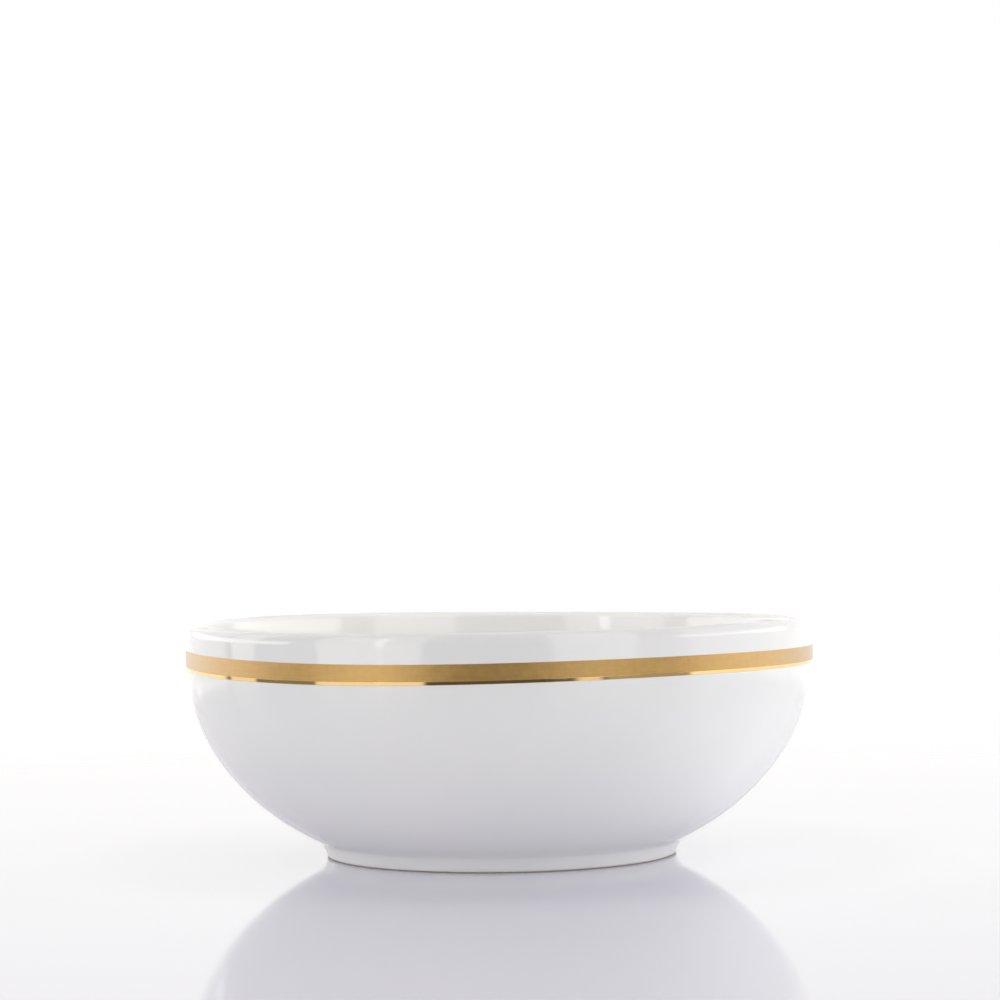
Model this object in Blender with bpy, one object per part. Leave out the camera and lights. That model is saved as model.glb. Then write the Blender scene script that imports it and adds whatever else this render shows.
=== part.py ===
"""Porcelain serving bowl with a matte gold band and a polished gold line.

A round, deep bowl on a low foot ring. Every piece is turned about the Z axis, which is
the bowl's own axis, and the table is at Z = 0. Lengths below are in millimetres and
become metres as the meshes are made.

The glaze and gold coats are thin skins. Each lies a small gap off the piece under it.
"""

import math

import bmesh
import bpy

MM = 0.001
SEGMENTS = 60  # facets round the bowl
FOOT_STEPS = 6
FLANK_STEPS = 9
LIP_STEPS = 3  # on each side of the crown
INSIDE_STEPS = 12
CORNER_STEPS = 3
GOLD_STEPS = 2
GAP = 0.3  # clearance between pieces that touch on the real bowl
COAT = 0.3  # thickness of a glaze or gold coat
UNDER_COAT = COAT + GAP  # from a glazed face in to the clay
SHARP_ANGLE = math.radians(40.0)
MERGE = 0.001 * MM

# Outside of the glazed bowl
HEIGHT = 90.0  # a level rim, at the height of the real rim's highest point
WIDEST_RADIUS = 119.4  # glazed collar; the gold stands a gap and a coat further out
WIDEST_Z = 76.3  # the wall is upright from here to the lip
FLANK_CENTRE_R = 21.7  # the flank is a quarter of an ellipse about this radius
FLANK_DEPTH = 80.4  # half height of that ellipse

# Lip
LIP_THICKNESS = 3.3
LIP_JOIN = math.radians(84.0)  # the two glaze coats meet just short of the crown

# Foot
FOOT_RADIUS = 66.6  # outer side of the foot, carried down to the table
FOOT_LEAN = 0.42  # how far the foot's outer side leans out for each unit up
FOOT_BLEND = 1.6  # softness of the corner where the foot runs into the flank
FOOT_TOP_Z = 8.0  # the corner has died away by this height
GLAZE_EDGE_Z = 0.8  # the glaze stops this far above the table
RIM_RADIUS = 64.5  # middle of the bare rim that the bowl stands on
RIM_WIDTH = 2.2
RIM_EDGE_Z = 0.5  # height of the small bevels beside the rim

# Recess under the base
RECESS_RADIUS = 62.2  # glazed inner side of the foot ring, carried down to the table
RECESS_LEAN = 0.12
RECESS_DEPTH = 5.2
RECESS_CORNER = 1.8

# Inside
WALL_AT_FOOT = 4.6  # wall thickness over both glazes, square to the flank
FLOOR_Z = 10.4
FLOOR_BLEND = 6.0

# Gold
GOLD_LOW_Z = 72.0
LINE_WIDTH = 1.2
BAND_TOP_Z = 79.2


def soft_max(a, b, blend):
    """The larger of two values, rounded off where they are nearly equal."""
    return 0.5 * (a + b + math.hypot(a - b, blend))


def spread(start, end, steps):
    """Evenly spaced values from start to end, both included."""
    return [start + (end - start) * i / steps for i in range(steps + 1)]


def outside_radius(z):
    """Radius of the glazed outside at a height."""
    if z >= WIDEST_Z:
        return WIDEST_RADIUS
    drop = (WIDEST_Z - z) / FLANK_DEPTH
    half_width = WIDEST_RADIUS - FLANK_CENTRE_R
    flank = FLANK_CENTRE_R + half_width * math.sqrt(1.0 - drop * drop)
    foot = FOOT_RADIUS + FOOT_LEAN * z
    return soft_max(foot, flank, FOOT_BLEND)


def wall_thickness(z):
    """Thickness of the glazed wall, which thins evenly from the foot to the lip."""
    return WALL_AT_FOOT + (LIP_THICKNESS - WALL_AT_FOOT) * z / HEIGHT


def arc(centre_r, centre_z, radius, start, end, steps):
    """Points of an arc, by angle from straight out."""
    return [
        (centre_r + radius * math.cos(a), centre_z + radius * math.sin(a))
        for a in spread(start, end, steps)
    ]


def lip_arc(start, end):
    """One side of the half round lip."""
    radius = LIP_THICKNESS / 2
    return arc(WIDEST_RADIUS - radius, HEIGHT - radius, radius, start, end, LIP_STEPS)


def outside_path():
    """Glazed outside, from the foot's glaze edge up to the crown of the lip."""
    heights = spread(GLAZE_EDGE_Z, FOOT_TOP_Z, FOOT_STEPS)
    lowest_angle = math.asin((WIDEST_Z - FOOT_TOP_Z) / FLANK_DEPTH)
    for angle in spread(lowest_angle, 0.0, FLANK_STEPS)[1:]:
        heights.append(WIDEST_Z - FLANK_DEPTH * math.sin(angle))
    flank = [(outside_radius(z), z) for z in heights]
    return flank + lip_arc(0.0, LIP_JOIN)


def inside_path():
    """Glazed inside, from the crown of the lip down to the middle of the floor."""
    points = lip_arc(math.pi - LIP_JOIN, math.pi)
    half_width = WIDEST_RADIUS - FLANK_CENTRE_R
    for angle in spread(0.0, math.pi / 2, INSIDE_STEPS):
        across = math.cos(angle)
        down = math.sin(angle)
        outside_z = WIDEST_Z - FLANK_DEPTH * down
        # The wall's thickness is laid off square to the flank's ellipse.
        normal_r = across / half_width
        normal_z = -down / FLANK_DEPTH
        scale = wall_thickness(outside_z) / math.hypot(normal_r, normal_z)
        wall_r = FLANK_CENTRE_R + half_width * across - normal_r * scale
        wall_z = outside_z - normal_z * scale
        points.append((wall_r, soft_max(wall_z, FLOOR_Z, FLOOR_BLEND)))
    return points + [(0.0, points[-1][1])]


def recess_path():
    """Glazed recess under the base, from its lower edge up to the middle."""
    corner_z = RECESS_DEPTH - RECESS_CORNER
    corner_r = RECESS_RADIUS - RECESS_LEAN * corner_z - RECESS_CORNER
    edge_r = RECESS_RADIUS - RECESS_LEAN * GLAZE_EDGE_Z
    corner = arc(corner_r, corner_z, RECESS_CORNER, 0.0, math.pi / 2, CORNER_STEPS)
    return [(edge_r, GLAZE_EDGE_Z)] + corner + [(0.0, RECESS_DEPTH)]


def offset_path(points, distance):
    """A path moved to the left of its own direction, square to its length."""
    moved = []
    for i, (r, z) in enumerate(points):
        before = points[max(i - 1, 0)]
        after = points[min(i + 1, len(points) - 1)]
        along_r = after[0] - before[0]
        along_z = after[1] - before[1]
        length = math.hypot(along_r, along_z)
        new_r = r - distance * along_z / length
        new_z = z + distance * along_r / length
        moved.append((new_r if r > 0.0 else 0.0, new_z))
    return moved


def radius_on(points, z):
    """Radius of a rising path at a height, between its points."""
    for low, high in zip(points, points[1:]):
        if low[1] <= z <= high[1]:
            share = (z - low[1]) / (high[1] - low[1])
            return low[0] + (high[0] - low[0]) * share
    raise ValueError("the path doesn't reach this height")


def coat_outline(points, front, back):
    """Closed outline of a coat between two offsets of a path."""
    return offset_path(points, front) + offset_path(points, back)[::-1]


def finish(name, color, roughness, metallic=0.0, coat=0.0):
    """A Principled material of one colour."""
    material = bpy.data.materials.new(name)
    material.use_nodes = True
    shader = material.node_tree.nodes["Principled BSDF"]
    shader.inputs["Base Color"].default_value = (*color, 1.0)
    shader.inputs["Roughness"].default_value = roughness
    shader.inputs["Metallic"].default_value = metallic
    shader.inputs["Coat Weight"].default_value = coat
    return material


def turned_piece(name, outline, material):
    """Turns a closed outline about the Z axis. It may begin and end on the axis."""
    bm = bmesh.new()
    corners = [bm.verts.new((r * MM, 0.0, z * MM)) for r, z in outline]
    for this, following in zip(corners, corners[1:]):
        bm.edges.new((this, following))
    if outline[0][0] > 0.0 or outline[-1][0] > 0.0:
        bm.edges.new((corners[-1], corners[0]))
    bmesh.ops.spin(
        bm,
        geom=bm.verts[:] + bm.edges[:],
        cent=(0.0, 0.0, 0.0),
        axis=(0.0, 0.0, 1.0),
        angle=2.0 * math.pi,
        steps=SEGMENTS,
        use_merge=True,
    )
    bmesh.ops.remove_doubles(bm, verts=bm.verts[:], dist=MERGE)
    bmesh.ops.recalc_face_normals(bm, faces=bm.faces[:])
    mesh = bpy.data.meshes.new(name)
    bm.to_mesh(mesh)
    bm.free()
    mesh.materials.append(material)
    mesh.shade_smooth()
    mesh.set_sharp_from_angle(angle=SHARP_ANGLE)
    piece = bpy.data.objects.new(name, mesh)
    bpy.context.scene.collection.objects.link(piece)
    return piece


def porcelain_body():
    """Wall and floor of fired clay, down to the seat of the foot ring."""
    seat_z = RECESS_DEPTH + UNDER_COAT
    outer = offset_path(outside_path(), UNDER_COAT)
    inner = offset_path(inside_path(), UNDER_COAT)
    seat = [(0.0, seat_z), (RECESS_RADIUS, seat_z), (radius_on(outer, seat_z), seat_z)]
    wall = [point for point in outer if point[1] > seat_z + GAP]
    crown = (WIDEST_RADIUS - LIP_THICKNESS / 2, outer[-1][1])
    outline = seat + wall[:-1] + [crown] + inner[1:]
    material = finish("Fired porcelain", (0.86, 0.86, 0.85), 0.55)
    return turned_piece("porcelain_body", outline, material)


def foot_ring():
    """Standing ring with a flat, bare rim, under the edge of the floor."""
    top_z = RECESS_DEPTH + COAT
    outer = offset_path(outside_path(), UNDER_COAT)
    inner = offset_path(recess_path(), -UNDER_COAT)
    outer_side = [point for point in outer if point[1] < top_z - GAP]
    inner_side = [point for point in inner if point[1] < top_z - GAP]
    outline = [
        (inner_side[0][0], RIM_EDGE_Z),
        (RIM_RADIUS - RIM_WIDTH / 2, 0.0),
        (RIM_RADIUS + RIM_WIDTH / 2, 0.0),
        (outer_side[0][0], RIM_EDGE_Z),
    ]
    outline += outer_side
    outline += [(radius_on(outer, top_z), top_z), (RECESS_RADIUS, top_z)]
    outline += inner_side[::-1]
    material = finish("Bare foot porcelain", (0.83, 0.81, 0.77), 0.8)
    return turned_piece("foot_ring", outline, material)


def glaze(name, label, path, back):
    """A glaze coat on one face of the bowl. Back is the offset of its hidden side."""
    material = finish(label, (0.9, 0.9, 0.89), 0.06, coat=1.0)
    return turned_piece(name, coat_outline(path, 0.0, back), material)


def gold(name, low_z, high_z, material):
    """A gold coat on the outer glaze between two heights."""
    path = [(outside_radius(z), z) for z in spread(low_z, high_z, GOLD_STEPS)]
    return turned_piece(name, coat_outline(path, -GAP, -UNDER_COAT), material)


def build():
    for old in list(bpy.data.objects):
        bpy.data.objects.remove(old, do_unlink=True)
    satin = finish("Matte gold", (0.62, 0.42, 0.17), 0.45, metallic=1.0)
    bright = finish("Polished gold", (0.85, 0.6, 0.22), 0.08, metallic=1.0)
    line_top = GOLD_LOW_Z + LINE_WIDTH
    pieces = [
        porcelain_body(),
        foot_ring(),
        glaze("outer_glaze", "Outer glaze", outside_path(), COAT),
        glaze("inner_glaze", "Inner glaze", inside_path(), COAT),
        glaze("base_glaze", "Base glaze", recess_path(), -COAT),
        gold("matte_gold_band", line_top + GAP, BAND_TOP_Z, satin),
        gold("polished_gold_line", GOLD_LOW_Z, line_top, bright),
    ]
    bowl = bpy.data.objects.new("serving_bowl", None)
    bpy.context.scene.collection.objects.link(bowl)
    for piece in pieces:
        piece.parent = bowl


build()
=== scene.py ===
"""Porcelain serving bowl with a matte gold band and a polished gold line.

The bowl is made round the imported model: its width and heights come from the frame, and its
curves follow the same rules as the model's own. Every piece is turned about the Z axis,
which is the bowl's axis, and the table is at Z = 0. Lengths are in millimetres until a
mesh is made, and angles in degrees until a shader or a mesh takes them.
"""

import math

import bpy
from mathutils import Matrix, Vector


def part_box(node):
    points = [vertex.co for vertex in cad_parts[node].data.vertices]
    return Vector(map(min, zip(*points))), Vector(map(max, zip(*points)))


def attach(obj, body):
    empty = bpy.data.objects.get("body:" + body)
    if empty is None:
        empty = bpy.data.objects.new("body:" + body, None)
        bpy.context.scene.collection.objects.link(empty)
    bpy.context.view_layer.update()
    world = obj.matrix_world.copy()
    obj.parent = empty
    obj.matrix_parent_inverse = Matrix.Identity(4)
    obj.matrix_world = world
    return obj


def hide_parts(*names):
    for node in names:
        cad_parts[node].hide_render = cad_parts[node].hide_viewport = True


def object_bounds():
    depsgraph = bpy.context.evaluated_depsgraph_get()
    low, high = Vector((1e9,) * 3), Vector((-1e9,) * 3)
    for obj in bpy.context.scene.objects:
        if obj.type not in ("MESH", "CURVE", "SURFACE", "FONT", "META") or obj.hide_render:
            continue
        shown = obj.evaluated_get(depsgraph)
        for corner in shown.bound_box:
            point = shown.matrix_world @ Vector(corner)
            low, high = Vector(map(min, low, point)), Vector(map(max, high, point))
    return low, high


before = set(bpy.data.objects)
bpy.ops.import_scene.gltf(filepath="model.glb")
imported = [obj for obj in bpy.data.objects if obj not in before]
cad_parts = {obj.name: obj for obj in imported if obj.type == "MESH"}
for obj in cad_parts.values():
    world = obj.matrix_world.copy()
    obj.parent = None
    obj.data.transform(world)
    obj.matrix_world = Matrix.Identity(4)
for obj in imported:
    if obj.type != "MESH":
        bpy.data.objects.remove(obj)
cad_low, cad_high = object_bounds()

MM = 0.001
ROUND_STEPS = 256
MERGE = 0.0002 * MM  # points closer than this are one
SHARP_ANGLE = math.radians(40.0)


def top_of(node):
    """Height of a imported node's top."""
    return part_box(node)[1].z / MM


def bottom_of(node):
    """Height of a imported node's lowest point."""
    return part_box(node)[0].z / MM


# Outside of the glazed bowl. The model keeps a gap between its coats, and here they touch.
FULL_RADIUS = cad_high.x / MM
SIDE_ROOM = 0.05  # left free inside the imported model's full width
GOLD_PROUD = 0.06  # the gold stands this far off the glaze
COLLAR_RADIUS = FULL_RADIUS - SIDE_ROOM - GOLD_PROUD
RIM_WARP = 0.6  # the kiln lifted and dropped the rim by this much
HEIGHT = top_of("outer_glaze") - RIM_WARP
BACK_DIP = 0.64  # the rim sags this much more near the back
BACK_DIP_AT = 172.0  # where it sags most, in degrees round from the front by the right
BACK_DIP_REACH = 75.0  # how far the sag runs to each side of that
WIDEST_Z = 76.3  # the collar is upright above this
FLANK_CENTRE_R = 21.7
FLANK_DEPTH = 80.4

# Lip: it rolls in gently outside, and more tightly inside
LIP_THICKNESS = 3.3
LIP_OUTER_WIDTH = 1.6
LIP_OUTER_DROP = 4.2
LIP_INNER_DROP = 2.4
CROWN_FLAT = 0.05
CROWN_STOP = 2.0  # both rolls end this many degrees from straight up

# Foot
FOOT_RADIUS = 66.6
FOOT_LEAN = 0.42
FOOT_BLEND = 1.6
FOOT_TOP_Z = 8.0
GLAZE_EDGE_Z = bottom_of("outer_glaze")
RIM_RADIUS = 64.5
RIM_WIDTH = 2.2
RIM_EDGE_Z = 0.5
RIM_CORNER = 0.25

# Recess under the base
RECESS_RADIUS = 62.2
RECESS_LEAN = 0.12
PACKED_COAT = 0.3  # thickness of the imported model's glaze
RECESS_DEPTH = top_of("base_glaze") - PACKED_COAT
RECESS_CORNER = 1.8

# Inside
WALL_AT_FOOT = 4.6
COLLAR_EXTRA = 0.7  # the inside leans out to the lip, so the wall is this much thicker below
COLLAR_EASE = 12.0  # how quickly, down from the lip
FLOOR_Z = 10.4
FLOOR_BLEND = 6.0

# Coats
GLAZE_THICKNESS = 0.28
CLAY_DEPTH = 0.32  # from a glazed face in to the clay

# Gold
LINE_LOW = bottom_of("polished_gold_line")
LINE_HIGH = top_of("polished_gold_line")
BAND_HIGH = top_of("matte_gold_band")
GOLD_DEPTH = 0.2  # how far the gold reaches into the glaze
GOLD_EDGE = 0.05  # radius of its edges
GOLD_FLAT_FROM = 1.5 * GOLD_EDGE  # its face is straight from this far inside an edge
LINE_LEAN = 0.9  # the polished line leans out by this many degrees as it rises
# Hand banding: (waves round the bowl, height of the wave's cosine, of its sine)
BAND_WANDER = ((0, 0.12, 0.0), (1, 0.03, 0.47), (2, -0.60, 0.10), (3, 0.09, 0.45))
BAND_NARROWING = 0.5  # the gold is this much narrower on one side, and wider opposite
NARROWEST_AT = 75.0

# Steps along each stretch of an outline
FOOT_STEPS = 22
FLANK_STEPS = 44
COLLAR_STEPS = 6
ROLL_STEPS = 20
INNER_ROLL_STEPS = 16
INNER_COLLAR_STEPS = 8
INNER_FLANK_STEPS = 60
FLOOR_STEPS = 6
RECESS_SIDE_STEPS = 5
RECESS_CORNER_STEPS = 12
RECESS_ROOF_STEPS = 12
GOLD_EDGE_STEPS = 4
GOLD_FACE_STEPS = 8


# ---------------------------------------------------------------- outlines


def soft_max(a, b, blend):
    """The larger of two values, rounded off where they are nearly equal."""
    return 0.5 * (a + b + math.hypot(a - b, blend))


def spread(start, end, steps):
    """Evenly spaced values from start to end, both included."""
    return [start + (end - start) * i / steps for i in range(steps + 1)]


def ellipse_arc(centre_r, centre_z, half_r, half_z, start, end, steps):
    """Points of an upright ellipse, by angle from straight out."""
    points = []
    for angle in spread(start, end, steps):
        turn = math.radians(angle)
        points.append((centre_r + half_r * math.cos(turn), centre_z + half_z * math.sin(turn)))
    return points


def outside_radius(z):
    """Radius of the glazed outside at a height."""
    if z >= WIDEST_Z:
        return COLLAR_RADIUS
    drop = (WIDEST_Z - z) / FLANK_DEPTH
    flank = FLANK_CENTRE_R + (COLLAR_RADIUS - FLANK_CENTRE_R) * math.sqrt(1.0 - drop * drop)
    foot = FOOT_RADIUS + FOOT_LEAN * z
    return soft_max(foot, flank, FOOT_BLEND)


def wall_thickness(z):
    """Thickness of the glazed wall. It thins evenly upwards, and faster close to the lip."""
    even = LIP_THICKNESS + (WALL_AT_FOOT - LIP_THICKNESS) * (1.0 - z / (HEIGHT - LIP_INNER_DROP))
    at_height = math.exp((z - HEIGHT + LIP_INNER_DROP) / COLLAR_EASE)
    at_table = math.exp((LIP_INNER_DROP - HEIGHT) / COLLAR_EASE)
    return even + COLLAR_EXTRA * (1.0 - at_height) * z / HEIGHT + COLLAR_EXTRA * at_table


def outside_path():
    """Glazed outside, from the foot's glaze edge up to the crown of the lip."""
    heights = spread(GLAZE_EDGE_Z, FOOT_TOP_Z, FOOT_STEPS)
    lowest = math.asin((WIDEST_Z - FOOT_TOP_Z) / FLANK_DEPTH)
    for angle in spread(lowest, 0.0, FLANK_STEPS)[1:]:
        heights.append(WIDEST_Z - FLANK_DEPTH * math.sin(angle))
    roll_z = HEIGHT - LIP_OUTER_DROP
    heights += spread(WIDEST_Z, roll_z, COLLAR_STEPS)[1:-1]
    flank = [(outside_radius(z), z) for z in heights]
    crown_r = COLLAR_RADIUS - LIP_OUTER_WIDTH
    roll = ellipse_arc(
        crown_r, roll_z, LIP_OUTER_WIDTH, LIP_OUTER_DROP, 0.0, 90.0 - CROWN_STOP, ROLL_STEPS
    )
    return flank + roll + [(crown_r + CROWN_FLAT, HEIGHT), (crown_r, HEIGHT)]


def inside_path():
    """Glazed inside, from the crown of the lip down to the middle of the floor."""
    crown_r = COLLAR_RADIUS - LIP_OUTER_WIDTH
    width = LIP_THICKNESS - LIP_OUTER_WIDTH
    roll_z = HEIGHT - LIP_INNER_DROP
    points = [(crown_r, HEIGHT), (crown_r - CROWN_FLAT, HEIGHT)]
    points += ellipse_arc(
        crown_r, roll_z, width, LIP_INNER_DROP, 90.0 + CROWN_STOP, 180.0, INNER_ROLL_STEPS
    )
    collar = spread(roll_z, WIDEST_Z, INNER_COLLAR_STEPS)[1:-1]
    points += [(COLLAR_RADIUS - wall_thickness(z), z) for z in collar]
    half_width = COLLAR_RADIUS - FLANK_CENTRE_R
    for angle in spread(0.0, math.pi / 2, INNER_FLANK_STEPS):
        across = math.cos(angle)
        down = math.sin(angle)
        outside_z = WIDEST_Z - FLANK_DEPTH * down
        normal_r = across / half_width
        normal_z = -down / FLANK_DEPTH
        scale = wall_thickness(outside_z) / math.hypot(normal_r, normal_z)
        wall_r = FLANK_CENTRE_R + half_width * across - normal_r * scale
        wall_z = outside_z - normal_z * scale
        points.append((wall_r, soft_max(wall_z, FLOOR_Z, FLOOR_BLEND)))
    floor_z = points[-1][1]
    return points + [(r, floor_z) for r in spread(points[-1][0], 0.0, FLOOR_STEPS)[1:]]


def recess_path():
    """Glazed recess under the base, from its lower edge up to the middle."""
    corner_z = RECESS_DEPTH - RECESS_CORNER
    corner_r = RECESS_RADIUS - RECESS_LEAN * corner_z - RECESS_CORNER
    heights = spread(GLAZE_EDGE_Z, corner_z, RECESS_SIDE_STEPS)[:-1]
    side = [(RECESS_RADIUS - RECESS_LEAN * z, z) for z in heights]
    corner = ellipse_arc(
        corner_r, corner_z, RECESS_CORNER, RECESS_CORNER, 0.0, 90.0, RECESS_CORNER_STEPS
    )
    roof = spread(corner[-1][0], 0.0, RECESS_ROOF_STEPS)[1:]
    return side + corner + [(r, RECESS_DEPTH) for r in roof]


def offset_path(points, distance):
    """A path moved to the left of its own direction, square to its length."""
    moved = []
    for i, (r, z) in enumerate(points):
        before = points[max(i - 1, 0)]
        after = points[min(i + 1, len(points) - 1)]
        along_r = after[0] - before[0]
        along_z = after[1] - before[1]
        length = math.hypot(along_r, along_z)
        new_r = r - distance * along_z / length
        new_z = z + distance * along_r / length
        moved.append((new_r if r > 0.0 else 0.0, new_z))
    return moved


def radius_on(points, z):
    """Radius of a path where it first rises past a height, between its points."""
    for low, high in zip(points, points[1:]):
        if low[1] <= z <= high[1]:
            share = (z - low[1]) / (high[1] - low[1])
            return low[0] + (high[0] - low[0]) * share
    raise ValueError("the path doesn't reach this height")


# ---------------------------------------------------------------- pieces


def turned(name, outline):
    """Turns a closed outline, or one that begins and ends on the axis, into a solid."""
    bpy.ops.object.select_all(action="DESELECT")
    start = Vector((outline[0][0], 0.0, outline[0][1])) * MM
    bpy.ops.mesh.primitive_plane_add(size=MM, location=start)
    piece = bpy.context.active_object
    piece.name = name
    piece.data.name = name
    bpy.ops.object.transform_apply(location=True, rotation=True, scale=True)
    bpy.ops.object.mode_set(mode="EDIT")
    bpy.ops.mesh.select_mode(type="VERT")
    bpy.ops.mesh.select_all(action="SELECT")
    bpy.ops.mesh.merge(type="CENTER")
    closing = [outline[0]] if outline[0][0] > 0.0 or outline[-1][0] > 0.0 else []
    for this, following in zip(outline, outline[1:] + closing):
        step = (Vector((following[0], 0.0, following[1])) - Vector((this[0], 0.0, this[1]))) * MM
        bpy.ops.mesh.extrude_region_move(TRANSFORM_OT_translate={"value": step})
    bpy.ops.mesh.select_all(action="SELECT")
    bpy.ops.mesh.spin(steps=ROUND_STEPS, angle=math.tau, center=(0, 0, 0), axis=(0, 0, 1))
    bpy.ops.mesh.select_all(action="SELECT")
    bpy.ops.mesh.remove_doubles(threshold=MERGE)
    bpy.ops.mesh.normals_make_consistent(inside=False)
    bpy.ops.object.mode_set(mode="OBJECT")
    bpy.ops.object.shade_smooth_by_angle(angle=SHARP_ANGLE)
    return piece


def coat(name, path, depth):
    """A glaze coat with its face on a path and its hidden side at a depth under it."""
    return turned(name, path + offset_path(path, depth)[::-1])


def clay_body():
    """Wall and floor of fired clay, under both glazes and on top of the foot."""
    seat_z = RECESS_DEPTH + CLAY_DEPTH
    outer = offset_path(outside_path(), CLAY_DEPTH)
    inner = offset_path(inside_path(), CLAY_DEPTH)
    wall = [point for point in outer if point[1] > seat_z + CLAY_DEPTH]
    seat = [(0.0, seat_z), (RECESS_RADIUS, seat_z), (radius_on(outer, seat_z), seat_z)]
    return turned("clay_body", seat + wall[:-1] + inner[1:])


def clay_foot():
    """Standing ring of bare clay. Its ground rim shows between the two glaze edges."""
    top_z = RECESS_DEPTH + CLAY_DEPTH / 2
    outer = offset_path(outside_path(), CLAY_DEPTH)
    inner = offset_path(recess_path(), -CLAY_DEPTH)
    outer_side = [point for point in outer if point[1] < top_z - CLAY_DEPTH]
    inner_side = [point for point in inner if point[1] < top_z - CLAY_DEPTH]
    rim_in = RIM_RADIUS - RIM_WIDTH / 2
    rim_out = RIM_RADIUS + RIM_WIDTH / 2
    rim = [
        (inner_side[0][0], RIM_EDGE_Z),
        (rim_in - RIM_CORNER, RIM_CORNER / 2),
        (rim_in, 0.0),
        (rim_in + RIM_CORNER, 0.0),
        (rim_out - RIM_CORNER, 0.0),
        (rim_out, 0.0),
        (rim_out + RIM_CORNER, RIM_CORNER / 2),
        (outer_side[0][0], RIM_EDGE_Z),
    ]
    seat = [(radius_on(outer, top_z), top_z), (RECESS_RADIUS, top_z)]
    return turned("clay_foot", rim + outer_side + seat + inner_side[::-1])


def gold_band(name, low, high, lean):
    """A gold band on the collar, leaning out by an angle as it rises."""
    face = COLLAR_RADIUS + GOLD_PROUD

    def face_radius(z):
        return face - (high - z) * math.tan(math.radians(lean))

    def rounded(edge_z, centre_z, start):
        centre_r = face_radius(edge_z) - GOLD_EDGE
        return ellipse_arc(
            centre_r, centre_z, GOLD_EDGE, GOLD_EDGE, start, start + 90, GOLD_EDGE_STEPS
        )

    hidden = COLLAR_RADIUS - GOLD_DEPTH
    bottom = rounded(low, low + GOLD_EDGE, -90)
    top = rounded(high, high - GOLD_EDGE, 0)
    heights = spread(low + GOLD_FLAT_FROM, high - GOLD_FLAT_FROM, GOLD_FACE_STEPS)
    flat = [(face_radius(z), z) for z in heights]
    piece = turned(name, [(hidden, low)] + bottom + flat + top + [(hidden, high)])
    wander(piece, low, high)
    return piece


def wander(piece, low, high):
    """Moves a band's edges up and down round the bowl, as the banding brush left them."""
    reach = BAND_HIGH - LINE_LOW
    for vertex in piece.data.vertices:
        turn = math.atan2(vertex.co.x, -vertex.co.y)
        lift = sum(
            cosine * math.cos(waves * turn) + sine * math.sin(waves * turn)
            for waves, cosine, sine in BAND_WANDER
        )
        share = (vertex.co.z / MM - LINE_LOW) / reach
        narrowing = BAND_NARROWING * math.cos(turn - math.radians(NARROWEST_AT))
        vertex.co.z += (lift - share * narrowing) * MM


def kiln_warp(pieces):
    """Lifts the rim at two opposite quarters, drops it at the others and lets the back sag."""
    bpy.ops.object.select_all(action="DESELECT")
    bpy.ops.object.add(type="LATTICE", location=(0.0, 0.0, HEIGHT / 2 * MM))
    cage = bpy.context.active_object
    cage.scale = (2 * COLLAR_RADIUS * MM, 2 * COLLAR_RADIUS * MM, HEIGHT * MM)
    shape = cage.data
    for side in "uvw":
        setattr(shape, f"points_{side}", 2)
        setattr(shape, f"interpolation_type_{side}", "KEY_LINEAR")
    # the cage is square, so its corners move twice as far as the round rim between them
    for point in shape.points:
        if point.co.z > 0.0:
            point.co_deform.z -= math.copysign(2 * RIM_WARP / HEIGHT, point.co.x * point.co.y)
    for piece in pieces:
        bpy.ops.object.select_all(action="DESELECT")
        piece.select_set(True)
        bpy.context.view_layer.objects.active = piece
        bpy.ops.object.modifier_add(type="LATTICE")
        piece.modifiers[-1].object = cage
        bpy.ops.object.modifier_apply(modifier=piece.modifiers[-1].name)
        back_sag(piece)
    bpy.data.objects.remove(cage)


def back_sag(piece):
    """Lowers the rim near the back, most at the top and nothing at the table."""
    for vertex in piece.data.vertices:
        turn = math.degrees(math.atan2(vertex.co.x, -vertex.co.y))
        apart = abs((turn - BACK_DIP_AT + 180.0) % 360.0 - 180.0)
        if apart >= BACK_DIP_REACH:
            continue
        share = 0.5 + 0.5 * math.cos(math.pi * apart / BACK_DIP_REACH)
        out = min(1.0, math.hypot(vertex.co.x, vertex.co.y) / (COLLAR_RADIUS * MM))
        vertex.co.z *= 1.0 - share * out * BACK_DIP / HEIGHT


# ---------------------------------------------------------------- shader building


# Inputs of a Mix node, and the output of one that mixes colours
MIX_SHARE = 0
MIX_NUMBERS = (2, 3)
MIX_COLOURS = (6, 7)
MIXED_COLOUR = 2


def put(tree, kind, values=None, **settings):
    """Adds a node. Values go on its inputs: numbers stay there, and outputs are linked."""
    node = tree.nodes.new(kind)
    for key, value in settings.items():
        setattr(node, key, value)
    for socket, value in (values or {}).items():
        if isinstance(value, bpy.types.NodeSocket):
            tree.links.new(value, node.inputs[socket])
        else:
            node.inputs[socket].default_value = value
    return node


def sum_up(tree, operation, *values):
    """One Math node, and its output."""
    return put(tree, "ShaderNodeMath", dict(enumerate(values)), operation=operation).outputs[0]


def vector_sum(tree, operation, *values):
    """One Vector Math node, and its vector."""
    node = put(tree, "ShaderNodeVectorMath", dict(enumerate(values)), operation=operation)
    return node.outputs["Vector"]


def length_of(tree, vector):
    """The length of a vector."""
    node = put(tree, "ShaderNodeVectorMath", {0: vector}, operation="LENGTH")
    return node.outputs["Value"]


def shift(tree, value, from_low, from_high, to_low, to_high):
    """A value carried smoothly from one range to another."""
    values = dict(enumerate((value, from_low, from_high, to_low, to_high)))
    node = put(tree, "ShaderNodeMapRange", values, interpolation_type="SMOOTHSTEP")
    return node.outputs[0]


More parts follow.
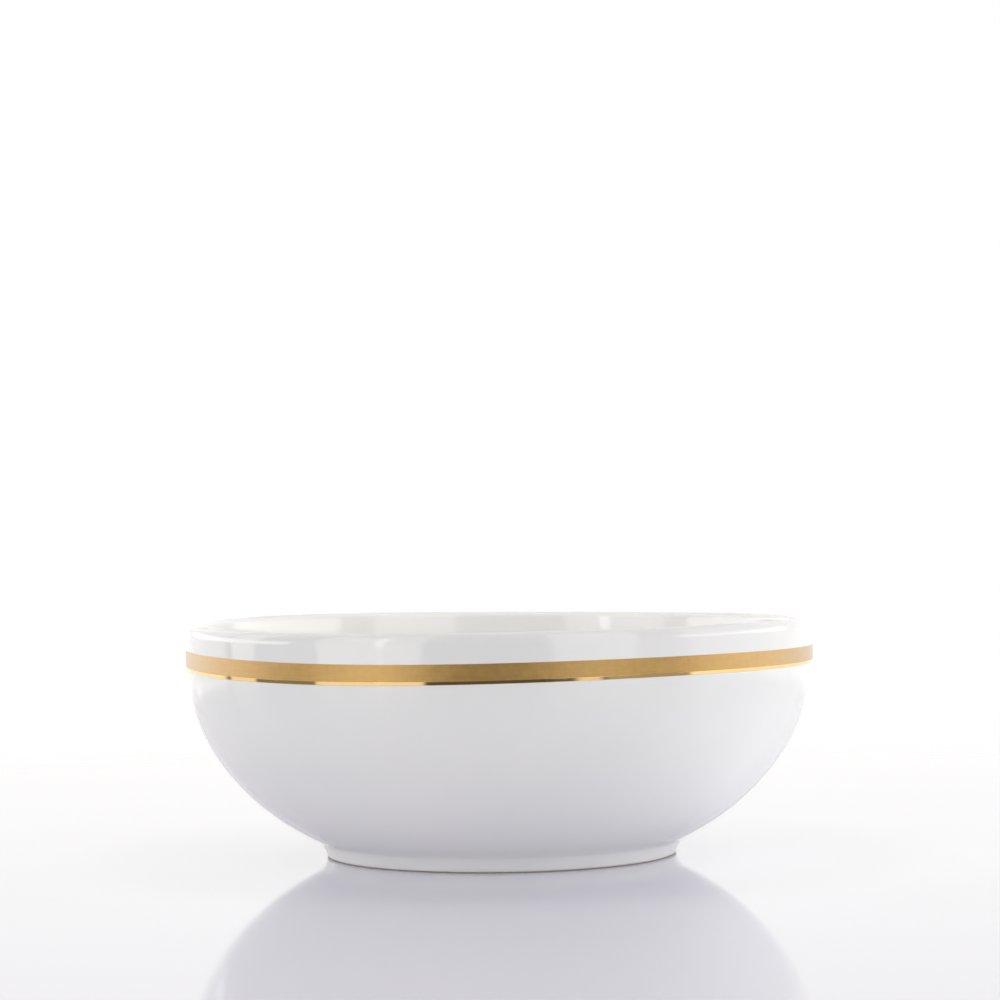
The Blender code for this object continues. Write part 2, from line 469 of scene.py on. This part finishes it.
def new_group(name, inputs, outputs):
    """An empty shader group, and its input and output nodes."""
    tree = bpy.data.node_groups.new(name, "ShaderNodeTree")
    for label, kind, default in inputs:
        socket = tree.interface.new_socket(label, in_out="INPUT", socket_type=kind)
        if default is not None:
            socket.default_value = default
    for label, kind in outputs:
        tree.interface.new_socket(label, in_out="OUTPUT", socket_type=kind)
    entry = tree.nodes.new("NodeGroupInput")
    leaving = tree.nodes.new("NodeGroupOutput")
    return tree, entry, leaving


def use_group(tree, group, values):
    """Places a group in a material with its own values."""
    return put(tree, "ShaderNodeGroup", values, node_tree=group)


FLOAT = "NodeSocketFloat"
VECTOR = "NodeSocketVector"


def unevenness_group():
    """Slow, soft variation over a surface, with a finer one on top of it."""
    tree, entry, leaving = new_group(
        "Unevenness",
        [("Place", VECTOR, None), ("Broad size mm", FLOAT, 40.0), ("Fine size mm", FLOAT, 3.0),
         ("Fine share", FLOAT, 0.3)],
        [("Value", FLOAT)],
    )
    broad = sum_up(tree, "DIVIDE", 1.0 / MM, entry.outputs["Broad size mm"])
    fine = sum_up(tree, "DIVIDE", 1.0 / MM, entry.outputs["Fine size mm"])
    waves = []
    for scale in (broad, fine):
        noise = put(
            tree, "ShaderNodeTexNoise",
            {"Vector": entry.outputs["Place"], "Scale": scale, "Detail": 2.0},
        )
        waves.append(noise.outputs[0])
    values = {MIX_SHARE: entry.outputs["Fine share"], **dict(zip(MIX_NUMBERS, waves))}
    mixed = put(tree, "ShaderNodeMix", values)
    tree.links.new(mixed.outputs[0], leaving.inputs["Value"])
    return tree


def specks_group():
    """Scattered round specks, such as pinholes in a glaze."""
    tree, entry, leaving = new_group(
        "Specks",
        [("Place", VECTOR, None), ("Spacing mm", FLOAT, 6.0), ("Radius mm", FLOAT, 0.2),
         ("Share kept", FLOAT, 0.2)],
        [("Mask", FLOAT)],
    )
    scale = sum_up(tree, "DIVIDE", 1.0 / MM, entry.outputs["Spacing mm"])
    cells = put(
        tree, "ShaderNodeTexVoronoi", {"Vector": entry.outputs["Place"], "Scale": scale}
    )
    reach = sum_up(tree, "DIVIDE", entry.outputs["Radius mm"], entry.outputs["Spacing mm"])
    near = shift(tree, cells.outputs["Distance"], 0.0, reach, 1.0, 0.0)
    draw = put(tree, "ShaderNodeSeparateColor", {0: cells.outputs["Color"]})
    kept = sum_up(tree, "LESS_THAN", draw.outputs[0], entry.outputs["Share kept"])
    tree.links.new(sum_up(tree, "MULTIPLY", near, kept), leaving.inputs["Mask"])
    return tree


def turned_marks_group():
    """Fine lines that run round the bowl, as a banding brush or a grinding wheel leaves."""
    tree, entry, leaving = new_group(
        "Turned marks",
        [("Place", VECTOR, None), ("Width mm", FLOAT, 0.2), ("Length mm", FLOAT, 25.0)],
        [("Value", FLOAT)],
    )
    along = sum_up(tree, "DIVIDE", 1.0 / MM, entry.outputs["Length mm"])
    across = sum_up(tree, "DIVIDE", 1.0 / MM, entry.outputs["Width mm"])
    parts = put(tree, "ShaderNodeSeparateXYZ", {0: entry.outputs["Place"]})
    flat = put(tree, "ShaderNodeCombineXYZ", {0: parts.outputs[0], 1: parts.outputs[1]})
    radius = length_of(tree, flat.outputs[0])
    round_place = put(
        tree, "ShaderNodeVectorMath", {0: flat.outputs[0], "Scale": along}, operation="SCALE"
    )
    rings = sum_up(tree, "ADD", parts.outputs[2], radius)
    offset = put(tree, "ShaderNodeCombineXYZ", {2: sum_up(tree, "MULTIPLY", rings, across)})
    place = vector_sum(tree, "ADD", round_place.outputs[0], offset.outputs[0])
    noise = put(tree, "ShaderNodeTexNoise", {"Vector": place, "Scale": 1.0, "Detail": 3.0})
    tree.links.new(noise.outputs[0], leaving.inputs["Value"])
    return tree


UNEVENNESS = unevenness_group()
SPECKS = specks_group()
TURNED_MARKS = turned_marks_group()


def new_material(name):
    """An empty Principled material: its tree, its shader and its Object coordinates."""
    material = bpy.data.materials.new(name)
    material.use_nodes = True
    tree = material.node_tree
    shader = tree.nodes["Principled BSDF"]
    place = tree.nodes.new("ShaderNodeTexCoord").outputs["Object"]
    return material, tree, shader, place


def mix_colours(tree, share, first, second):
    """Two colours mixed by a share. Each is three numbers, or another node's output."""
    values = {MIX_SHARE: share}
    for socket, colour in zip(MIX_COLOURS, (first, second)):
        linked = isinstance(colour, bpy.types.NodeSocket)
        values[socket] = colour if linked else (*colour, 1.0)
    return put(tree, "ShaderNodeMix", values, data_type="RGBA").outputs[MIXED_COLOUR]


def bump(tree, height, depth_mm):
    """A Bump node whose full height is a depth in millimetres."""
    node = put(tree, "ShaderNodeBump", {"Height": height, "Distance": depth_mm * MM})
    return node.outputs[0]


# ---------------------------------------------------------------- finishes


PORCELAIN_WHITE = (0.845, 0.842, 0.835)
PORCELAIN_COOL = (0.825, 0.828, 0.828)


def glazed_porcelain(name, pinholes, waviness):
    """Clear gloss over white clay, cooler in slow patches, with a share of pinholes."""
    material, tree, shader, place = new_material(name)
    uneven = use_group(tree, UNEVENNESS, {"Place": place, "Broad size mm": 55.0,
                                          "Fine size mm": 9.0, "Fine share": 0.25})
    body = mix_colours(tree, shift(tree, uneven.outputs[0], 0.3, 0.7, 0.0, 1.0),
                       PORCELAIN_WHITE, PORCELAIN_COOL)
    holes = use_group(tree, SPECKS, {"Place": place, "Spacing mm": 9.0, "Radius mm": 0.16,
                                     "Share kept": pinholes})
    colour = mix_colours(tree, sum_up(tree, "MULTIPLY", holes.outputs[0], 0.5), body,
                         (0.42, 0.38, 0.33))
    tree.links.new(colour, shader.inputs["Base Color"])
    rough = shift(tree, uneven.outputs[0], 0.25, 0.75, 0.05, 0.085)
    tree.links.new(rough, shader.inputs["Roughness"])
    gloss = sum_up(tree, "SUBTRACT", 1.0, holes.outputs[0])
    tree.links.new(sum_up(tree, "MULTIPLY", gloss, 0.25), shader.inputs["Coat Weight"])
    shader.inputs["Coat Roughness"].default_value = 0.03
    peel = use_group(tree, UNEVENNESS, {"Place": place, "Broad size mm": 22.0,
                                        "Fine size mm": 2.2, "Fine share": 0.12})
    surface = sum_up(tree, "SUBTRACT", peel.outputs[0], holes.outputs[0])
    tree.links.new(bump(tree, surface, waviness), shader.inputs["Normal"])
    return material


def fired_clay():
    """Bare, smooth fired clay under the glaze."""
    material, tree, shader, place = new_material("Fired clay")
    uneven = use_group(tree, UNEVENNESS, {"Place": place, "Broad size mm": 12.0,
                                          "Fine size mm": 0.8, "Fine share": 0.5})
    colour = mix_colours(tree, uneven.outputs[0], (0.80, 0.795, 0.78), (0.86, 0.855, 0.845))
    tree.links.new(colour, shader.inputs["Base Color"])
    rough = shift(tree, uneven.outputs[0], 0.3, 0.7, 0.5, 0.62)
    tree.links.new(rough, shader.inputs["Roughness"])
    tree.links.new(bump(tree, uneven.outputs[0], 0.02), shader.inputs["Normal"])
    return material


def ground_clay():
    """Bare clay of the foot's rim, ground smooth on a wheel and greyed by use."""
    material, tree, shader, place = new_material("Ground clay")
    marks = use_group(tree, TURNED_MARKS, {"Place": place, "Width mm": 0.12, "Length mm": 9.0})
    grit = use_group(tree, SPECKS, {"Place": place, "Spacing mm": 1.1, "Radius mm": 0.16,
                                    "Share kept": 0.25})
    clean = mix_colours(tree, marks.outputs[0], (0.80, 0.775, 0.73), (0.70, 0.67, 0.62))
    colour = mix_colours(tree, sum_up(tree, "MULTIPLY", grit.outputs[0], 0.5), clean,
                         (0.36, 0.32, 0.27))
    tree.links.new(colour, shader.inputs["Base Color"])
    rough = shift(tree, marks.outputs[0], 0.3, 0.7, 0.62, 0.85)
    tree.links.new(rough, shader.inputs["Roughness"])
    surface = sum_up(tree, "SUBTRACT", marks.outputs[0], grit.outputs[0])
    tree.links.new(bump(tree, surface, 0.03), shader.inputs["Normal"])
    return material


def matte_gold():
    """Satin fired gold. It has a fine tooth, and the brush's lines run round in it."""
    material, tree, shader, place = new_material("Matte gold")
    marks = use_group(tree, TURNED_MARKS, {"Place": place, "Width mm": 0.5, "Length mm": 14.0})
    tooth = use_group(tree, UNEVENNESS, {"Place": place, "Broad size mm": 2.6,
                                         "Fine size mm": 0.35, "Fine share": 0.5})
    share = sum_up(tree, "MULTIPLY_ADD", marks.outputs[0], 0.25,
                   sum_up(tree, "MULTIPLY", tooth.outputs[0], 0.75))
    colour = mix_colours(tree, shift(tree, share, 0.3, 0.7, 0.0, 1.0),
                         (0.51, 0.297, 0.08), (0.61, 0.383, 0.12))
    tree.links.new(colour, shader.inputs["Base Color"])
    shader.inputs["Metallic"].default_value = 1.0
    shader.inputs["Coat Weight"].default_value = 1.0
    shader.inputs["Coat Roughness"].default_value = 0.32
    shader.inputs["Sheen Weight"].default_value = 0.3
    shader.inputs["Sheen Roughness"].default_value = 0.4
    shader.inputs["Sheen Tint"].default_value = (1.0, 0.96, 0.88, 1.0)
    rough = shift(tree, tooth.outputs[0], 0.25, 0.75, 0.38, 0.52)
    tree.links.new(rough, shader.inputs["Roughness"])
    tree.links.new(bump(tree, share, 0.012), shader.inputs["Normal"])
    return material


def polished_gold():
    """Mirror-bright fired gold, with a few nicks and faint lines from the brush."""
    material, tree, shader, place = new_material("Polished gold")
    marks = use_group(tree, TURNED_MARKS, {"Place": place, "Width mm": 0.25, "Length mm": 30.0})
    nicks = use_group(tree, SPECKS, {"Place": place, "Spacing mm": 7.0, "Radius mm": 0.35,
                                     "Share kept": 0.14})
    clean = mix_colours(tree, marks.outputs[0], (0.88, 0.60, 0.26), (0.92, 0.65, 0.31))
    colour = mix_colours(tree, sum_up(tree, "MULTIPLY", nicks.outputs[0], 0.8), clean,
                         (0.98, 0.84, 0.62))
    tree.links.new(colour, shader.inputs["Base Color"])
    shader.inputs["Metallic"].default_value = 1.0
    rough = sum_up(tree, "MULTIPLY_ADD", nicks.outputs[0], 0.4,
                   shift(tree, marks.outputs[0], 0.3, 0.7, 0.05, 0.09))
    tree.links.new(rough, shader.inputs["Roughness"])
    tree.links.new(bump(tree, marks.outputs[0], 0.002), shader.inputs["Normal"])
    return material


# ---------------------------------------------------------------- table, light and camera

TABLE_SIDES = 96
TABLE_RADIUS = 750.0
TABLE_SOLID = 400.0  # the table is whole to this radius, and fades out beyond it


def table_top():
    """Pale glossy table. Its edge fades into the backdrop, and from below it isn't there."""
    bpy.ops.object.select_all(action="DESELECT")
    bpy.ops.mesh.primitive_circle_add(
        vertices=TABLE_SIDES, radius=TABLE_RADIUS * MM, fill_type="NGON"
    )
    top = bpy.context.active_object
    top.name = "table_top"
    material, tree, shader, place = new_material("Pale table")
    grain = use_group(tree, UNEVENNESS, {"Place": place, "Broad size mm": 90.0,
                                         "Fine size mm": 14.0, "Fine share": 0.3})
    colour = mix_colours(tree, grain.outputs[0], (0.745, 0.74, 0.83), (0.765, 0.76, 0.85))
    tree.links.new(colour, shader.inputs["Base Color"])
    tree.links.new(shift(tree, grain.outputs[0], 0.3, 0.7, 0.04, 0.06), shader.inputs["Roughness"])
    reach = length_of(tree, place)
    kept = shift(tree, reach, TABLE_SOLID * MM, TABLE_RADIUS * MM, 1.0, 0.0)
    behind = tree.nodes.new("ShaderNodeNewGeometry").outputs["Backfacing"]
    front = sum_up(tree, "SUBTRACT", 1.0, behind)
    tree.links.new(sum_up(tree, "MULTIPLY", kept, front), shader.inputs["Alpha"])
    top.data.materials.append(material)


PANEL_CORNER = 4.0  # radius of a light panel's corners, in degrees


def softbox_group():
    """How much of a soft, round-cornered light panel lies in a direction."""
    tree, entry, leaving = new_group(
        "Softbox",
        [("Angles", VECTOR, None), ("Centre", VECTOR, None), ("Half size", VECTOR, None),
         ("Edge", FLOAT, 2.0)],
        [("Mask", FLOAT)],
    )
    apart = vector_sum(tree, "SUBTRACT", entry.outputs["Angles"], entry.outputs["Centre"])
    apart = vector_sum(tree, "ABSOLUTE", apart)
    apart = vector_sum(tree, "SUBTRACT", apart, entry.outputs["Half size"])
    apart = vector_sum(tree, "ADD", apart, (PANEL_CORNER, PANEL_CORNER, 0.0))
    apart = vector_sum(tree, "MAXIMUM", apart, (0.0, 0.0, 0.0))
    past = sum_up(tree, "SUBTRACT", length_of(tree, apart), PANEL_CORNER)
    inner = sum_up(tree, "MULTIPLY", entry.outputs["Edge"], -1.0)
    tree.links.new(shift(tree, past, inner, entry.outputs["Edge"], 1.0, 0.0),
                   leaving.inputs["Mask"])
    return tree


# Light panels, by their azimuth to the right of the camera and their elevation, in degrees:
# azimuth from and to, elevation from and to, strength, softness of the edge
PANELS = (
    (-69.2, -26.3, -3.6, 1.0, 1.95, 0.6),
    (-69.2, -26.3, 0.0, 42.0, 1.5, 1.0),
    (-69.2, -26.3, -14.0, -2.0, 1.0, 1.0),
    (-45.5, -40.5, -3.6, 30.0, 4.0, 1.6),
    (-58.0, -46.0, 12.0, 26.0, 2.6, 4.0),
    (17.5, 51.0, -3.6, 42.0, 1.6, 0.6),
    (27.0, 37.0, -14.0, -2.0, 0.9, 2.0),
    (28.0, 38.0, 14.0, 26.0, 2.6, 4.0),
    (-114.0, -97.0, -3.6, 42.0, 1.55, 1.0),
    (-114.0, -97.0, -14.0, -2.0, 1.0, 1.0),
    (-97.0, -68.0, -14.0, 8.0, 0.25, 3.0),
    (38.0, 74.0, -14.0, 12.0, 0.42, 2.0),
    (66.0, 128.0, 0.6, 9.0, 2.8, 1.0),
    (-150.0, -80.0, 0.6, 9.0, 2.7, 1.0),
    (71.5, 190.0, -14.0, 35.0, 1.22, 2.0),
    (-190.0, -116.0, -14.0, 35.0, 1.22, 3.0),
)
ROOM_LOW = 0.1
ROOM_HIGH = 0.66
ROOM_TURNS = (12.0, 60.0)  # the dark room turns into the bright ceiling between these
LIGHT_COLOUR = (1.0, 0.988, 0.96, 1.0)
BACKDROP = 1.0


def studio_light():
    """White backdrop, dark room in front, light panels at the sides and a bright ceiling."""
    world = bpy.data.worlds.new("Studio")
    bpy.context.scene.world = world
    world.use_nodes = True
    tree = world.node_tree
    tree.nodes.clear()
    direction = tree.nodes.new("ShaderNodeTexCoord").outputs["Generated"]
    parts = put(tree, "ShaderNodeSeparateXYZ", {0: direction})
    ahead = sum_up(tree, "MULTIPLY", parts.outputs[1], -1.0)
    azimuth = sum_up(tree, "DEGREES", sum_up(tree, "ARCTAN2", parts.outputs[0], ahead))
    elevation = sum_up(tree, "DEGREES", sum_up(tree, "ARCSINE", parts.outputs[2]))
    angles = put(tree, "ShaderNodeCombineXYZ", {0: azimuth, 1: elevation}).outputs[0]
    light = shift(tree, elevation, *ROOM_TURNS, ROOM_LOW, ROOM_HIGH)
    group = softbox_group()
    for left, right, low, high, strength, edge in PANELS:
        centre = ((left + right) / 2, (low + high) / 2, 0.0)
        half = ((right - left) / 2, (high - low) / 2, 0.0)
        mask = use_group(tree, group, {"Angles": angles, "Centre": centre, "Half size": half,
                                       "Edge": edge})
        lit = sum_up(tree, "MULTIPLY", mask.outputs[0], strength)
        light = sum_up(tree, "MAXIMUM", light, lit)
    room = put(tree, "ShaderNodeBackground", {"Color": LIGHT_COLOUR, "Strength": light})
    backdrop = put(tree, "ShaderNodeBackground",
                   {"Color": (1.0, 1.0, 1.0, 1.0), "Strength": BACKDROP})
    seen = tree.nodes.new("ShaderNodeLightPath").outputs["Is Camera Ray"]
    both = put(tree, "ShaderNodeMixShader", {0: seen, 1: room.outputs[0], 2: backdrop.outputs[0]})
    leaving = tree.nodes.new("ShaderNodeOutputWorld")
    tree.links.new(both.outputs[0], leaving.inputs[0])


# Large soft fills: azimuth, elevation and power in watts. They don't show in reflections.
FILLS = ((85.0, 5.0, 6.8), (-80.0, 8.0, 1.2), (-20.0, 10.0, 1.7))
FILL_DISTANCE = 1800.0
FILL_SIZE = 1200.0
# Small round fills: place, radius, up or down, and power in watts. Those at the table stand
# for light that it throws back up, and the high one fills the inside.
DISCS = (
    (0.0, 0.0, 0.4, 200.0, 1.0, 0.040),
    (0.0, 0.0, 0.4, 84.0, 1.0, 0.16),
    (205.0, -70.0, 0.4, 120.0, 1.0, 0.05),
    (0.0, 0.0, 350.0, 60.0, -1.0, 0.15),
)


def soft_fill(data, place, facing):
    """Puts a lamp in the scene that gives light but isn't seen in anything."""
    lamp = bpy.data.objects.new(data.name, data)
    lamp.location = place
    lamp.rotation_euler = facing.to_track_quat("-Z", "Y").to_euler()
    lamp.visible_camera = False
    lamp.visible_glossy = False
    bpy.context.scene.collection.objects.link(lamp)


def fills():
    """Broad fills, the table's own bounce, and a little light into the bowl."""
    for azimuth, elevation, power in FILLS:
        data = bpy.data.lights.new("fill", "AREA")
        data.size = FILL_SIZE * MM
        data.energy = power
        turn = math.radians(azimuth)
        rise = math.radians(elevation)
        level = math.cos(rise)
        away = Vector((math.sin(turn) * level, -math.cos(turn) * level, math.sin(rise)))
        soft_fill(data, away * FILL_DISTANCE * MM, -away)
    for x, y, z, radius, upward, power in DISCS:
        data = bpy.data.lights.new("disc_fill", "AREA")
        data.shape = "DISK"
        data.size = 2 * radius * MM
        data.energy = power
        soft_fill(data, Vector((x, y, z)) * MM, Vector((0.0, 0.0, upward)))


CAMERA_PLACE = (1.0, -1166.0, 130.23)
CAMERA_LENS = 109.1
CAMERA_PITCH = 0.265
CAMERA_ROLL = 0.7735


def camera():
    """Low camera in front of the bowl, tipped very slightly."""
    data = bpy.data.cameras.new("camera")
    data.lens = CAMERA_LENS
    data.sensor_width = 36.0
    view = bpy.data.objects.new("camera", data)
    view.location = Vector(CAMERA_PLACE) * MM
    view.rotation_euler = (math.radians(90.0 + CAMERA_PITCH), math.radians(CAMERA_ROLL), 0.0)
    bpy.context.scene.collection.objects.link(view)
    bpy.context.scene.camera = view


# ---------------------------------------------------------------- assembly


def put_in_place(piece, material, node):
    """Gives a piece its finish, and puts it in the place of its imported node."""
    piece.data.materials.clear()
    piece.data.materials.append(material)
    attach(piece, "root")
    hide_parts(node)


def build():
    """The seven pieces, each with its finish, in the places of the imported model's nodes."""
    glaze = glazed_porcelain("Porcelain glaze", pinholes=0.02, waviness=0.004)
    base_finish = glazed_porcelain("Base glaze", pinholes=0.12, waviness=0.01)
    outside = coat("glaze_outside", outside_path(), GLAZE_THICKNESS)
    inside = coat("glaze_inside", inside_path(), GLAZE_THICKNESS)
    base = coat("glaze_base", recess_path(), -GLAZE_THICKNESS)
    body = clay_body()
    foot = clay_foot()
    kiln_warp([outside, inside, base, body, foot])
    line = gold_band("gold_line_polished", LINE_LOW, LINE_HIGH, LINE_LEAN)
    band = gold_band("gold_band_matte", LINE_HIGH - GOLD_EDGE, BAND_HIGH, 0.0)
    put_in_place(outside, glaze, "outer_glaze")
    put_in_place(inside, glaze, "inner_glaze")
    put_in_place(base, base_finish, "base_glaze")
    put_in_place(body, fired_clay(), "porcelain_body")
    put_in_place(foot, ground_clay(), "foot_ring")
    put_in_place(band, matte_gold(), "matte_gold_band")
    put_in_place(line, polished_gold(), "polished_gold_line")


build()
table_top()
studio_light()
fills()
camera()
bpy.context.scene.view_settings.view_transform = "Standard"
